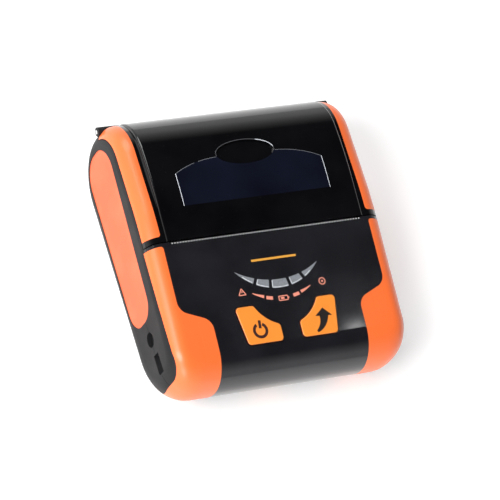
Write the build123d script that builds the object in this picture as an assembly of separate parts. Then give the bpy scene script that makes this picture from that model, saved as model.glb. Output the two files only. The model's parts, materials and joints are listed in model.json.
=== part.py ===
from build123d import *
from functools import cache
from math import acos, atan, atan2, cos, degrees, pi, radians, sin, sqrt, tan
import os

# A portable thermal receipt printer for paper 80 mm wide.
# Millimetres, +Z up, the control panel faces -Y, the origin is under the middle of the whole.

# Walls and gaps
wall = 2.4
cover_wall = 2.2
fascia_wall = 2.0
inlay = 1.3
grip_recess = 0.3
seam = 0.3
case_seam = 0.15
case_seam_height = 23.8

# The paper and its bay, which set the width and the rear
paper_width = 80.0
roll_diameter = 40.0
bay_wall = 1.0
bay_play = 0.6
bay_side_play = 1.0
bay_fit = 0.15
bay_gap = 1.25
bay_ear_width = 3.4
bay_ear_thickness = 2.5
mechanism_rear = 13.15

# The stack of battery, mechanism and panel, which sets the height
battery_top = 18.0
battery_play = 0.3
battery_bay_wall = 1.2
platen_stand = 17.7
tear_above_platen = 8.46
brow_rise = 1.24
battery_ceiling = battery_top + battery_play + battery_bay_wall
platen_z = battery_ceiling + platen_stand
tear_height = platen_z + tear_above_platen
band_height = tear_height + brow_rise

# The outer form: a pebble with a sloping control panel in front and rounded ends
dome_half_width = paper_width / 2 + 5.0
shoulder_width = 2.0
bumper_width = 7.0
bumper_rear_x = dome_half_width + shoulder_width
half = bumper_rear_x + bumper_width
front_reach = 58.5
rear_reach = mechanism_rear + bay_gap + roll_diameter + 2 * (bay_play + bay_wall) + wall
panel_drop = 7.8858
panel_slope = panel_drop / front_reach
front_top_radius = 15.0
front_low_radius = 24.0
rear_top_radius = 18.5
rear_low_radius = roll_diameter / 2 + bay_play + bay_wall + wall
brow_radius = 142.0
side_top_radius = 7.0
side_low_radius = 12.0
side_front_radius = 13.0
side_rear_radius = 7.0

# Hinge of the cover, along the rear edge
knuckle_radius = 1.95
hinge_inset = 1.3
hinge_drop = 15.7
hinge_z = band_height - hinge_drop
knuckle_play = 0.25
knuckle_gap = 0.3
hinge_pin_radius = 0.9
hinge_fit = 0.05
middle_knuckle = 12.0
end_knuckle_inner = dome_half_width + 0.5
end_knuckle_outer = half - 0.8
pin_overhang = 0.3
web_reach = 6.5
web_foot = 1.5
cover_web = 6.0

# The tear line, where the cover ends and the front half begins; places along Y start from it
hinge_stand = knuckle_radius - hinge_inset
tear_line = (front_reach - rear_reach - hinge_stand) / 2
front = tear_line - front_reach
rear = tear_line + rear_reach
hinge_y = rear - hinge_inset
cover_edge = tear_line + 0.6
cover_drop = 4.8
band_drop = 4.6
gap_front = tear_line - 1.0
gap_rear = tear_line + 3.1
gap_corner = 1.2
cover_lip = 1.8
cover_lip_foot = tear_height - 2.26

# The raised middle of the cover
dome_edge = tear_line + 0.4
dome_step = 0.55
dome_rise = 3.0
dome_brow = tear_line + 26.5
dome_rear_drop = 1.3
dome_rear_inset = 0.15
dome_brow_radius = 150.0
dome_rear_radius = 19.0
dome_edge_radius = 1.0

# Orange corners of the front half, in plan and from the side
bumper_front_x = bumper_rear_x - 13.3
bumper_shoulder = tear_line - 28.15
bumper_waist = tear_line - 33.6
bumper_bend = 5.5
bumper_foot = 5.2
side_panel_top = tear_height - 5.36
side_panel_rise = 0.085
side_panel_inset = 6.0
side_panel_front_radius = 9.0
side_panel_low_radius = 20.0
fascia_foot = 9.0

# The oval grip let into each side
grip_front = tear_line - 23.85
grip_rear = tear_line + 51.95
grip_low_front = 10.2
grip_low_rear = 11.6
grip_top_front = 31.2
grip_top_rear = 37.6
grip_front_radius = 8.8
grip_rear_radius = 11.0

# Platen roller, its gear train and the motor
platen_y = tear_line + 6.75
platen_radius = 5.0
platen_length = paper_width + 1.0
platen_shaft_radius = 2.0
gear_seat_radius = 1.5
bushing_radius = 3.5
bushing_inner = paper_width / 2 + 1.2
bushing_outer = bushing_inner + 3.2
shaft_fit = 0.05
gear_module = 0.5
platen_teeth = 24
idler_small_teeth = 12
idler_large_teeth = 36
pinion_teeth = 12
gear_backlash = 0.14
gear_spread = 0.06
idler_bearing_angle = 50.0
motor_bearing_angle = 80.0
gear_inner = bushing_outer + 0.4
gear_width = 2.5
gear_spacing = 0.3
large_gear_width = 1.9
motor_radius = 8.0
motor_length = 13.0
motor_ears = 20.0
motor_tilt = -35.0
motor_shaft_radius = 0.75
idler_pin_radius = 1.0

# Sheet metal frame of the print mechanism
frame_half_width = bushing_outer - 0.2
frame_sheet = 1.2
frame_front = tear_line - 22.25
frame_rear = tear_line + mechanism_rear
frame_top = platen_z + 3.4
frame_floor_front = tear_line - 2.25
slot_play = 0.3
head_gap = 0.3

# Print head
head_half_width = frame_half_width - frame_sheet - 1.0
head_front = platen_y - 8.3
head_rear = platen_y + 5.8
heatsink_thickness = 3.2
ceramic_thickness = 1.0
ceramic_half_width = head_half_width - 1.0
head_spring_radius = 2.5
head_spring_wire = 0.35
head_spring_turns = 3
head_spring_x = 25.0
head_pivot_radius = 0.8

# Battery
battery_half_width = 36.0
battery_front = front + 13.25
battery_rear = tear_line - 7.25
battery_corner = 1.5
battery_foot = 0.2
contact_half = 1.2
contact_pitch = 6.0
contact_low = 5.0
contact_high = 12.0
latch_half_width = 4.5
latch_low = 7.5
latch_height = 8.6
latch_corner = 2.5
latch_play = 0.3
latch_travel = 1.2
latch_sink = 0.2

# Boards, sockets and keys
board_thickness = 1.6
board_half_width = half - 8.0
board_front = front + 8.25
board_rear = frame_front - 1.0
board_stand = 0.3
board_post_radius = 2.0
board_screw_x = board_half_width - 12.0
board_screw_front = board_front + 5.0
board_screw_rear = board_rear - 4.0
jack_y = frame_front - 9.45
jack_z = 23.4
jack_bore = 2.85
jack_pin = 0.95
jack_half = 4.5
jack_low = 3.9
jack_high = 4.1
jack_depth = 11.5
usb_y = front + 15.9
usb_z = 24.4
usb_width = 7.7
usb_height = 4.0
usb_depth = 9.2
usb_metal = 0.35
usb_play = 0.35
key_board_depth = 8.4
key_board_thickness = 1.2
key_board_half_width = 27.0
key_board_front = board_front - tear_line
key_board_rear = -12.75
key_post_radius = 1.7
key_post_inset = 2.5
key_top = -30.55
key_foot = -46.6
key_shoulder = -39.55
key_hollow = -36.65
key_hollow_x = 9.6
key_head_in = 14.4
key_head_out = 22.9
key_foot_in = 4.4
key_foot_out = 20.4
key_corner = 1.7
key_centre_x = 13.0
key_centre = -40.75
key_rise = 0.6
key_play = 0.3
key_flange = 0.9
key_flange_thickness = 0.8
key_travel = 0.5
key_stem_radius = 1.5
switch_half = 2.6
switch_height = 2.6
plunger_radius = 1.1

# Indicator lenses, a crescent split in five
lens_low = -24.65
lens_low_radius = 24.4
lens_high = -21.05
lens_high_radius = 36.2
lens_gap = 1.5
lens_splits = (10.6, 27.5)
lens_proud = 0.1
lens_depth = 2.4

# Window of the cover and the thumb scoop behind it
window_half_width = 33.5
window_front = tear_line + 14.4
window_side = tear_line + 28.35
window_neck = 13.5
window_top = tear_line + 33.55
window_crown_x = 24.0
window_crown_y = tear_line + 32.05
window_ledge = 1.5
window_thickness = 1.2
scoop_y = tear_line + 34.55
scoop_half_width = 13.2
scoop_half_length = 5.4
scoop_depth = 1.0

# Tear bar
tear_bar_half_width = paper_width / 2 + 3.4
tear_bar_thickness = 0.5
tear_bar_foot = tear_height - 4.26
tear_tooth_height = 0.7
tear_tooth_pitch = 1.24
tear_proud = 0.45

# Screws
case_screw_x = bumper_rear_x
case_screw_front = tear_line - 19.75
case_screw_rear = rear - 21.25
fascia_leg_radius = 2.6
case_boss_radius = 3.4
case_boss_top = 10.0
case_screw_head = 2.4
case_screw_head_height = 1.6
case_screw_seat = 5.1
case_screw_radius = 1.2
case_screw_length = 12.0
small_screw_head = 1.8
small_screw_head_height = 1.1
small_screw_radius = 0.9
carrier_sheet = 1.4
mech_screw_x = frame_half_width + 2.7
mech_screw_depth = 4.0
mech_boss_radius = 2.6
mech_ear = 3.0
carrier_screw_x = window_half_width + 2.5
carrier_screw_y = platen_y + 7.8
mech_screw_y = tear_line + 8.75

# Values worked out from the ones above; places on the panel are measured along its slope
plunger_foot = key_board_depth - key_travel - 0.2
slope_angle = degrees(atan(panel_slope))
panel = Plane(origin=(0, tear_line, tear_height), x_dir=(1, 0, 0),
              z_dir=(0, -sin(radians(slope_angle)), cos(radians(slope_angle))))
bay_radius = roll_diameter / 2 + bay_play
bay_y = rear - rear_low_radius
bay_z = rear_low_radius + 0.1
bay_half = paper_width / 2 + bay_side_play
bay_lip_height = hinge_z - 3.2
bay_cheek_height = platen_z - 0.2
battery_bay_front = battery_front - battery_play - battery_bay_wall
board_bottom = battery_ceiling + board_stand
board_top = board_bottom + board_thickness
platen_pitch = gear_module * platen_teeth / 2
idler_centre_distance = gear_module * (platen_teeth + idler_small_teeth) / 2 + gear_spread
motor_centre_distance = gear_module * (idler_large_teeth + pinion_teeth) / 2 + gear_spread
idler_y = platen_y - idler_centre_distance * sin(radians(idler_bearing_angle))
idler_z = platen_z - idler_centre_distance * cos(radians(idler_bearing_angle))
motor_y = idler_y - motor_centre_distance * sin(radians(motor_bearing_angle))
motor_z = idler_z - motor_centre_distance * cos(radians(motor_bearing_angle))
head_top = platen_z - platen_radius - head_gap
heatsink_top = head_top - ceramic_thickness
heatsink_bottom = heatsink_top - heatsink_thickness
head_pivot_y = head_front + 2.0
head_pivot_z = heatsink_bottom - head_pivot_radius - 0.4
frame_floor_top = battery_ceiling + frame_sheet
far = 200.0


# Shapes that the pieces below are made from

def block(x0, x1, y0, y1, z0, z1):
    """A box between two corners."""
    middle = Pos((x0 + x1) / 2, (y0 + y1) / 2, (z0 + z1) / 2)
    return middle * Box(abs(x1 - x0), abs(y1 - y0), abs(z1 - z0))


def rod(x0, x1, y, z, radius):
    """A round bar along X."""
    return Pos((x0 + x1) / 2, y, z) * Rot(0, 90, 0) * Cylinder(radius, abs(x1 - x0))


def post(x, y, z0, z1, radius):
    """A round bar along Z."""
    return Pos(x, y, (z0 + z1) / 2) * Cylinder(radius, z1 - z0)


def rounded(corners):
    """A flat outline through (a, b, radius) corners."""
    spots = [Vector(a, b) for a, b, radius in corners]
    arcs = []
    for here, before, after, corner in zip(spots, spots[-1:] + spots, spots[1:] + spots[:1], corners):
        radius = corner[2]
        back, ahead = (before - here).normalized(), (after - here).normalized()
        opening = radians(back.get_angle(ahead)) / 2
        reach = radius / tan(opening)
        inward = (back + ahead).normalized() * (radius / sin(opening) - radius)
        arcs.append((here + back * reach, here + inward, here + ahead * reach))
    border = [Line(arc[2], following[0]) for arc, following in zip(arcs, arcs[1:] + arcs[:1])]
    border += [ThreePointArc(*arc) for arc, corner in zip(arcs, corners) if corner[2] > 0]
    return make_face(border)


def from_side(face, x0, x1):
    """A side view outline, in Y and Z, pushed along X."""
    return extrude(Plane.YZ.offset(min(x0, x1)) * face, abs(x1 - x0), dir=(1, 0, 0))


def from_above(face, z0, z1):
    """A plan outline pushed along Z."""
    return extrude(Plane.XY.offset(z0) * face, z1 - z0, dir=(0, 0, 1))


def in_panel(face, depth, top=0.0):
    """An outline on the sloping panel, from a depth below its surface to a height above it."""
    return extrude(panel.offset(-depth) * face, depth + top, dir=panel.z_dir)


def mirrored(shape):
    """The same shape on the other side."""
    return mirror(shape, Plane.YZ)


def pair(shape):
    """A shape and its mirror image."""
    return shape + mirrored(shape)


def drawn_in(radius, depth):
    """How far a rounded edge has drawn in at a depth from the side face."""
    if depth >= radius:
        return 0.0
    return radius - sqrt(radius ** 2 - (radius - depth) ** 2)


def side_outline(inset=0.0, depth=far):
    """The case from the side, drawn in by a wall and by the rounding of its long edges."""
    top = inset + drawn_in(side_top_radius - inset, depth)
    low = inset + drawn_in(side_low_radius - inset, depth)
    nose = inset + drawn_in(side_front_radius - inset, depth)
    tail = inset + drawn_in(side_rear_radius - inset, depth)
    sunk = top / cos(radians(slope_angle))
    brow = tear_line + (brow_rise - top + sunk) / panel_slope
    nose_top = tear_height - sunk - panel_slope * (front_reach - nose)
    return rounded([
        (front + nose, low, front_low_radius - (nose + low) / 2),
        (rear - tail, low, rear_low_radius - (tail + low) / 2),
        (rear - tail, band_height - top, rear_top_radius - (tail + top) / 2),
        (brow, band_height - top, brow_radius),
        (front + nose, nose_top, front_top_radius - (nose + top) / 2),
    ])


@cache
def case_form(inset=0.0):
    """The pebble, drawn in by a wall all over."""
    side = half - inset
    flat = max(side_front_radius, side_low_radius) - inset
    steps = 7
    depths = [flat * (1 - sin(radians(90 * i / steps))) for i in range(steps, -1, -1)]
    depths.append(flat + 1.5)
    end = loft([Plane.YZ.offset(side - d) * side_outline(inset, d) for d in depths])
    core = extrude(Plane.YZ * side_outline(inset), side - flat - 1.5, both=True)
    return core + end + mirrored(end)


def dome_slope(y):
    """The height of the dome's front slope."""
    return tear_height + dome_step + dome_rise * (y - dome_edge) / (dome_brow - dome_edge)


def dome_outline(inset=0.0):
    """The raised middle of the cover from the side."""
    crown = dome_slope(dome_brow)
    tail = rear - dome_rear_inset - inset
    return rounded([
        (dome_edge, 0, 0),
        (dome_edge, dome_slope(dome_edge) - inset, 0),
        (dome_brow, crown - inset, dome_brow_radius),
        (tail, crown - dome_rear_drop - inset, dome_rear_radius - inset),
        (tail, 0, 0),
    ])


@cache
def dome_form(inset=0.0):
    """The raised middle of the cover, with its long edges rounded."""
    side = dome_half_width - inset
    body = from_side(dome_outline(inset), -side, side)
    ends = body.faces().sort_by(Axis.X)
    edges = [e for f in (ends[0], ends[-1]) for e in f.edges() if e.center().Z > hinge_z]
    return fillet(edges, dome_edge_radius) if inset == 0 else body


# Zones that divide the skin between its pieces

def cover_zone(gap):
    """Everything above the line where the cover lifts off."""
    low = hinge_z + gap
    start = cover_edge + gap
    above = Pos((start + far) / 2, (low + far) / 2) * Rectangle(far - start, far - low)
    return from_side(above - side_outline(cover_drop - gap), -far, far)


def bumper_plan():
    """The plan of the right orange corner, open towards the outside."""
    return rounded([
        (bumper_rear_x, gap_front, gap_corner),
        (bumper_rear_x, bumper_shoulder, bumper_bend),
        (bumper_front_x, bumper_waist, bumper_bend),
        (bumper_front_x, -far, 0),
        (far, -far, 0),
        (far, gap_front, 0),
    ])


def side_panel_zone():
    """The dark side panel from the side, ahead of the hinge and behind the orange corner."""
    nose = front + side_panel_inset
    top = side_panel_top + side_panel_rise * (nose - gap_front)
    rear_top = side_panel_top + side_panel_rise * (far - gap_front)
    outline = rounded([
        (nose, -1, side_panel_low_radius),
        (far, -1, 0),
        (far, rear_top, 0),
        (nose, top, side_panel_front_radius),
    ])
    return from_side(outline, -far, far)


def bumper_zone():
    return from_above(bumper_plan(), bumper_foot, far) - side_panel_zone()


def fascia_zone():
    """The black panel: between the orange corners, and the ears beside the tear bar."""
    middle = block(-half - 1, half + 1, front - 5, gap_front, fascia_foot, far)
    plate = middle - pair(from_above(bumper_plan(), -far, far))
    plate = plate & block(-bumper_rear_x, bumper_rear_x, -far, far, -far, far)
    lip = block(-tear_bar_half_width - 0.3, tear_bar_half_width + 0.3, gap_front - 1, tear_line - 0.6,
                tear_height - 6, far)
    ear_foot = tear_height - cover_drop
    ear = block(tear_bar_half_width + 0.3, half + 1, gap_front, cover_edge - seam, ear_foot, far)
    strip = block(tear_bar_half_width + 0.3, bumper_rear_x, gap_front - 1, gap_front, ear_foot, far)
    return plate + lip + pair(ear + strip)


def band_zone():
    """The orange band on the right edge of the cover."""
    plan = rounded([
        (bumper_rear_x, gap_rear, gap_corner),
        (far, gap_rear, 0),
        (far, far, 0),
        (bumper_rear_x, far, 0),
    ])
    above = from_above(plan, hinge_z + seam / 2, far)
    return above - from_side(side_outline(band_drop), -far, far)


def grip_outline():
    return rounded([
        (grip_front, grip_low_front, grip_front_radius),
        (grip_rear, grip_low_rear, grip_rear_radius),
        (grip_rear, grip_top_rear, grip_rear_radius),
        (grip_front, grip_top_front, grip_front_radius),
    ])


def window_outline(ledge=0.0):
    """The window in plan: straight at the front, shouldered towards the scoop."""
    w, n = window_half_width - ledge, window_neck
    low, side, top = window_front + ledge, window_side - ledge, window_top - ledge
    crown_y = window_crown_y - ledge
    border = Polyline((-w, side), (-w, low), (w, low), (w, side))
    border += ThreePointArc((w, side), (window_crown_x, crown_y), (n, top))
    border += Line((n, top), (-n, top))
    border += ThreePointArc((-n, top), (-window_crown_x, crown_y), (-w, side))
    scoop = Pos(0, scoop_y) * Ellipse(scoop_half_width + ledge, scoop_half_length + ledge)
    return make_face(border) - scoop


def window_zone(ledge=0.0):
    return from_above(window_outline(ledge), cover_lip_foot, far)


def key_outline(grow=0.0):
    """The right key on the panel: a wide foot, a narrow head and a hollow shoulder."""
    shoulder = (key_foot_in, key_shoulder)
    head = (key_head_in, key_top)
    border = Polyline(shoulder, (key_foot_in, key_foot), (key_foot_out, key_foot),
                      (key_head_out, key_top), head)
    border += ThreePointArc(head, (key_hollow_x, key_hollow), shoulder)
    face = fillet(make_face(border).vertices(), key_corner)
    return offset(face, grow) if grow else face


def lens_faces():
    """The crescent on the upper half of the panel, split in five by narrow bars."""
    low = Pos(0, lens_low + lens_low_radius) * Circle(lens_low_radius)
    high = Pos(0, lens_high + lens_high_radius) * Circle(lens_high_radius)
    crescent = low - high
    for angle in lens_splits:
        for side in (-1, 1):
            bar = Pos(0, lens_low + lens_low_radius) * Rot(0, 0, side * angle) * Pos(0, -lens_low_radius)
            crescent -= bar * Rectangle(lens_gap, 12)
    return crescent


# Skin pieces of the base

@cache
def bumper():
    return (case_form() - case_form(inlay)) & bumper_zone()


@cache
def grip():
    body = case_form(grip_recess) - case_form(grip_recess + inlay)
    return body & from_side(grip_outline(), 0, far)


def key_hole(sign):
    hole = in_panel(key_outline(key_play), 6, 3)
    return hole if sign > 0 else mirrored(hole)


def control_fascia():
    plate = (case_form() - case_form(fascia_wall)) & fascia_zone()
    plate -= key_hole(1) + key_hole(-1)
    plate -= in_panel(lens_faces(), lens_depth + 1, 2)
    plate -= latch_bar(battery_bay_front, latch_play)
    for side in (-1, 1):
        x = side * case_screw_x
        pillar = post(x, case_screw_front, case_boss_top, far, fascia_leg_radius)
        leg = pillar & case_form(wall + 0.1)
        neck = pillar & block(0, side * (bumper_rear_x - seam), -far, far, case_boss_top, far)
        plate += leg + (neck & case_form(fascia_wall))
        plate -= post(x, case_screw_front, 0, case_screw_seat + case_screw_length, case_screw_radius)
    return plate


def battery_bay():
    """A box open below that holds the battery, with the floor of the mechanism on top."""
    grow = battery_play + battery_bay_wall
    outer = block(-battery_half_width - grow, battery_half_width + grow, battery_front - grow,
                  battery_rear + grow, -1, battery_ceiling)
    return outer & case_form()


def battery_space():
    g = battery_play
    return block(-battery_half_width - g, battery_half_width + g, battery_front - g, battery_rear + g,
                 -5, battery_top + g)


def latch_bar(root, grow=0.0):
    """The catch of the battery, an arched bar from its root to beyond the nose."""
    w = latch_half_width + grow
    top = latch_low + latch_height + grow
    low = latch_low - grow
    arch = rounded([(-w, low, 0), (w, low, 0), (w, top, latch_corner), (-w, top, latch_corner)])
    plane = Plane(origin=(0, root, 0), x_dir=(1, 0, 0), z_dir=(0, -1, 0))
    return extrude(plane * arch, front_reach, dir=(0, -1, 0))


def base_skin():
    """Both halves of the base in one, before the case seam divides them."""
    shell = case_form() - case_form(wall)
    shell -= cover_zone(-seam / 2)
    shell -= fascia_zone()
    shell -= block(-far, far, gap_front, cover_edge, tear_height - cover_drop, far)
    shell -= pair(bumper())
    shell -= pair(from_side(grip_outline(), 0, far) & (case_form() - case_form(grip_recess + inlay)))
    shell -= rod(-far, far, hinge_y, hinge_z, knuckle_radius + knuckle_play)
    return shell


def hinge_lug(x0, x1, root):
    """A knuckle of the base and the web that joins it to the wall at a root place along Y."""
    web = Polygon((hinge_y + knuckle_radius, hinge_z), (rear - seam, hinge_z - web_reach),
                  (root, hinge_z - web_reach - web_foot), (root, hinge_z - seam),
                  (hinge_y, hinge_z - seam), align=None)
    lug = from_side(web, x0, x1) & case_form()
    lug += rod(x0, x1, hinge_y, hinge_z, knuckle_radius)
    return lug - rod(x0 - 1, x1 + 1, hinge_y, hinge_z, hinge_pin_radius)


def case_lower(skin):
    shell = skin & block(-far, far, -far, far, -far, case_seam_height)
    shell += battery_bay() - battery_space()
    shell -= battery_space()
    for x in (case_screw_x, -case_screw_x):
        shell += post(x, case_screw_front, 0, case_boss_top, case_boss_radius) & case_form()
        shell += post(x, case_screw_rear, 0, case_boss_top, case_boss_radius) & case_form()
    for x in (case_screw_x, -case_screw_x):
        for y in (case_screw_front, case_screw_rear):
            shell -= post(x, y, -1, case_screw_seat, case_screw_head + 0.2)
            shell -= post(x, y, -1, case_boss_top + 1, case_screw_radius)
    for x in (mech_screw_x, -mech_screw_x):
        shell += post(x, mech_screw_y, 0, battery_ceiling, mech_boss_radius) & case_form()
        shell -= post(x, mech_screw_y, battery_ceiling - mech_screw_depth, far, small_screw_radius)
    for x in (board_screw_x, -board_screw_x):
        for y in (board_screw_front, board_screw_rear):
            shell += post(x, y, battery_ceiling - battery_bay_wall / 2, board_bottom, board_post_radius)
    shell -= latch_bar(battery_bay_front, latch_play)
    shell -= contact_strips(0.1)
    return shell - side_mouths()


def side_mouths():
    """The openings in the left side for the power jack and the USB socket."""
    w = usb_width / 2 + usb_play
    h = usb_height / 2 + usb_play
    inner = -half + wall + 0.1
    slot = block(-half - 1, inner, usb_y - w, usb_y + w, usb_z - h, usb_z + h)
    return slot + rod(-half - 1, inner, jack_y, jack_z, jack_bore + 0.3)


def case_upper(skin):
    shell = skin & block(-far, far, -far, far, case_seam_height + case_seam, far)
    shell += hinge_lug(-middle_knuckle, middle_knuckle, rear - wall)
    shell += pair(hinge_lug(end_knuckle_inner, end_knuckle_outer, rear - wall - 1.6))
    shell = shell & block(-far, far, -far, far, case_seam_height + case_seam, far)
    shell -= side_mouths()
    return shell - rod(-far, far, hinge_y, hinge_z, hinge_pin_radius)


# Skin pieces of the cover

@cache
def cover_band():
    band = (case_form() - case_form(inlay)) & band_zone()
    return band - rod(-far, far, hinge_y, hinge_z, knuckle_radius + knuckle_play)


def cover_window():
    return (dome_form() - dome_form(window_thickness)) & window_zone()


def cover_knuckle():
    """The cover's long knuckle on the right, with its half of the rear wall."""
    x0, x1 = middle_knuckle + knuckle_gap, end_knuckle_inner - knuckle_gap
    barrel = rod(x0, x1, hinge_y, hinge_z, knuckle_radius)
    web = (dome_form() - dome_form(cover_wall)) & cover_zone(seam / 2)
    web = web & block(x0, min(x1, dome_half_width), hinge_y - 4, far, hinge_z, hinge_z + cover_web)
    return barrel + web


def cover_shell():
    outer = (case_form() + dome_form()) & cover_zone(seam / 2)
    shell = outer - case_form(cover_wall) - dome_form(cover_wall)
    shell -= pair(cover_band())
    lip = block(-tear_bar_half_width, tear_bar_half_width, cover_edge + seam / 2,
                cover_edge + cover_lip, cover_lip_foot, far)
    shell += lip & dome_form()
    shell -= cover_window()
    shell -= window_zone(window_ledge)
    scoop = Pos(0, scoop_y) * Ellipse(scoop_half_width, scoop_half_length)
    shell -= (dome_form() - dome_form(scoop_depth)) & from_above(scoop, cover_lip_foot, far)
    shell -= rod(-far, far, hinge_y, hinge_z, knuckle_radius + knuckle_play)
    shell += pair(cover_knuckle())
    shell -= carrier_screws()
    return shell - rod(-far, far, hinge_y, hinge_z, hinge_pin_radius + hinge_fit)


def platen_carrier():
    """The frame under the cover that holds the roller's bushings."""
    plate = dome_form(cover_wall) - dome_form(cover_wall + carrier_sheet)
    plate = plate & block(-far, far, platen_y - 3.0, carrier_screw_y + 2.6, frame_top + seam, far)
    arm_outline = rounded([
        (platen_y - 4.2, platen_z - 2.0, 2.0),
        (platen_y + 5.4, platen_z - 2.0, 2.0),
        (platen_y + 5.4, far, 0),
        (platen_y - 4.2, far, 0),
    ])
    arm = from_side(arm_outline, bushing_inner, bushing_inner + carrier_sheet) & dome_form(cover_wall)
    frame = plate + pair(arm) - carrier_screws()
    return frame - rod(-far, far, platen_y, platen_z, bushing_radius)


def platen_bushings():
    ring = rod(bushing_inner, bushing_outer, platen_y, platen_z, bushing_radius)
    return pair(ring - rod(0, far, platen_y, platen_z, platen_shaft_radius + shaft_fit))


def carrier_screws():
    """Two screws from below through the carrier into the cover."""
    x, y = carrier_screw_x, carrier_screw_y
    seat = dome_slope(y) - cover_wall - carrier_sheet
    head = post(x, y, seat - small_screw_head_height, seat, small_screw_head)
    return pair(head + post(x, y, seat, seat + carrier_sheet + 1.0, small_screw_radius))


# Roller, gears and motor

def gear_outline(teeth, first_tooth):
    """A spur gear with involute flanks; the first tooth points at an angle in degrees."""
    pressure = radians(20)
    pitch = gear_module * teeth / 2
    base = pitch * cos(pressure)
    tip = pitch + 0.95 * gear_module
    root = pitch - 1.2 * gear_module
    half_tooth = (pi * gear_module / 2 - gear_backlash) / 2 / pitch
    lean = tan(pressure) - pressure

    def flank(radius):
        if radius <= base:
            return half_tooth + lean
        swing = acos(base / radius)
        return half_tooth + lean - (tan(swing) - swing)

    radii = (root, max(base, root + 0.05), pitch, tip)
    points = []
    for tooth in range(teeth):
        middle = radians(first_tooth) + 2 * pi * tooth / teeth
        points += [(r * cos(middle - flank(r)), r * sin(middle - flank(r))) for r in radii]
        points += [(r * cos(middle + flank(r)), r * sin(middle + flank(r))) for r in reversed(radii)]
    return Polygon(*points, align=None)


def spur(teeth, first_tooth, y, z, x0, x1, bore):
    face = gear_outline(teeth, first_tooth) - Circle(bore)
    return from_side(Pos(y, z) * face, x0, x1)


gear_outer = gear_inner + gear_width
large_inner = gear_outer + gear_spacing
large_outer = large_inner + large_gear_width
to_idler = degrees(atan2(idler_z - platen_z, idler_y - platen_y))
to_motor = degrees(atan2(motor_z - idler_z, motor_y - idler_y))


def platen_gear():
    return spur(platen_teeth, to_idler, platen_y, platen_z, -gear_outer, -gear_inner, gear_seat_radius)


def platen_shaft():
    shaft = rod(-gear_inner, bushing_outer + 0.8, platen_y, platen_z, platen_shaft_radius)
    return shaft + rod(-gear_outer - 0.1, -gear_inner, platen_y, platen_z, gear_seat_radius)


def platen_rubber():
    sleeve = rod(-platen_length / 2, platen_length / 2, platen_y, platen_z, platen_radius)
    return sleeve - rod(-far, far, platen_y, platen_z, platen_shaft_radius)


def idler_gear():
    small = spur(idler_small_teeth, to_idler + 180 + 180 / idler_small_teeth, idler_y, idler_z,
                 -gear_outer, -gear_inner, idler_pin_radius + shaft_fit)
    large = spur(idler_large_teeth, to_motor, idler_y, idler_z, -large_outer, -gear_outer,
                 idler_pin_radius + shaft_fit)
    spacer = rod(-large_inner, -gear_outer, idler_y, idler_z, 4.0)
    cutter = rod(-large_inner, -gear_outer, idler_y, idler_z, 30) - spacer
    return small + (large - cutter)


def idler_pin():
    pin = rod(-large_outer - 0.3, -frame_half_width, idler_y, idler_z, idler_pin_radius)
    return pin + rod(-large_outer - 0.9, -large_outer - 0.3, idler_y, idler_z, 1.8)


def motor_pinion():
    return spur(pinion_teeth, to_motor + 180 + 180 / pinion_teeth, motor_y, motor_z, -large_outer - 0.2,
                -large_inner + 0.2, motor_shaft_radius)


def motor_shaft():
    inner_end = -frame_half_width + frame_sheet + 2.5
    return rod(-large_outer - 0.5, inner_end, motor_y, motor_z, motor_shaft_radius)


def stepper_motor():
    x0 = -frame_half_width + frame_sheet
    can = rod(x0, x0 + motor_length, motor_y, motor_z, motor_radius)
    flange_outline = Pos(motor_y, motor_z) * Rot(0, 0, motor_tilt) * Rectangle(motor_ears, 6)
    can = fillet(can.edges().filter_by(GeomType.CIRCLE).sort_by(Axis.X)[-1], 1.0)
    can += from_side(flange_outline, x0, x0 + 0.8)
    return can - rod(x0 - 1, x0 + 4, motor_y, motor_z, motor_shaft_radius + shaft_fit)


# Print mechanism

def mech_frame():
    """A channel of sheet metal: floor and two cheeks with slots for the roller's bushings."""
    cheek_outline = rounded([
        (frame_front, battery_ceiling, 0),
        (frame_rear, battery_ceiling, 0),
        (frame_rear, frame_top, 1.5),
        (frame_front, frame_top - 1.0, 3.0),
    ])
    slot_radius = bushing_radius + slot_play
    front_side, rear_side = platen_y - slot_radius, platen_y + slot_radius
    slot = Pos(platen_y, platen_z) * Circle(slot_radius)
    slot += Polygon((front_side, platen_z), (rear_side, platen_z), (rear_side + 1.6, frame_top + 1),
                    (front_side, frame_top + 1), align=None)
    cheek = from_side(cheek_outline - slot, frame_half_width - frame_sheet, frame_half_width)
    floor = block(-frame_half_width, frame_half_width, frame_floor_front, frame_rear,
                  battery_ceiling, frame_floor_top)
    ear = block(frame_half_width - frame_sheet, mech_screw_x + mech_ear, mech_screw_y - mech_ear,
                mech_screw_y + mech_ear, battery_ceiling, frame_floor_top)
    hole = post(mech_screw_x, mech_screw_y, 0, far, small_screw_radius)
    frame = floor + pair(cheek + ear - hole)
    frame -= rod(-far, 0, motor_y, motor_z, 2.2)
    frame -= pair(rod(0, far, head_pivot_y, head_pivot_z, head_pivot_radius))
    return frame


def head_pivot():
    return rod(-frame_half_width, frame_half_width, head_pivot_y, head_pivot_z, head_pivot_radius)


def head_heatsink():
    """A finned aluminium bar with two ears that sit on the pivot."""
    bar = block(-head_half_width, head_half_width, head_front, head_rear, heatsink_bottom, heatsink_top)
    for i in range(4):
        y = head_front + 5.4 + i * 1.9
        bar -= block(-far, far, y, y + 0.9, heatsink_bottom - 1, heatsink_bottom + 1.2)
    ear = block(head_half_width - 4, head_half_width, head_front + 0.4, head_pivot_y + 1.8,
                head_pivot_z - 1.6, heatsink_bottom)
    bar += pair(ear)
    return bar - rod(-far, far, head_pivot_y, head_pivot_z, head_pivot_radius + shaft_fit)


def head_ceramic():
    return block(-ceramic_half_width, ceramic_half_width, head_front + 1, head_rear - 0.6,
                 heatsink_top, head_top)


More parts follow.
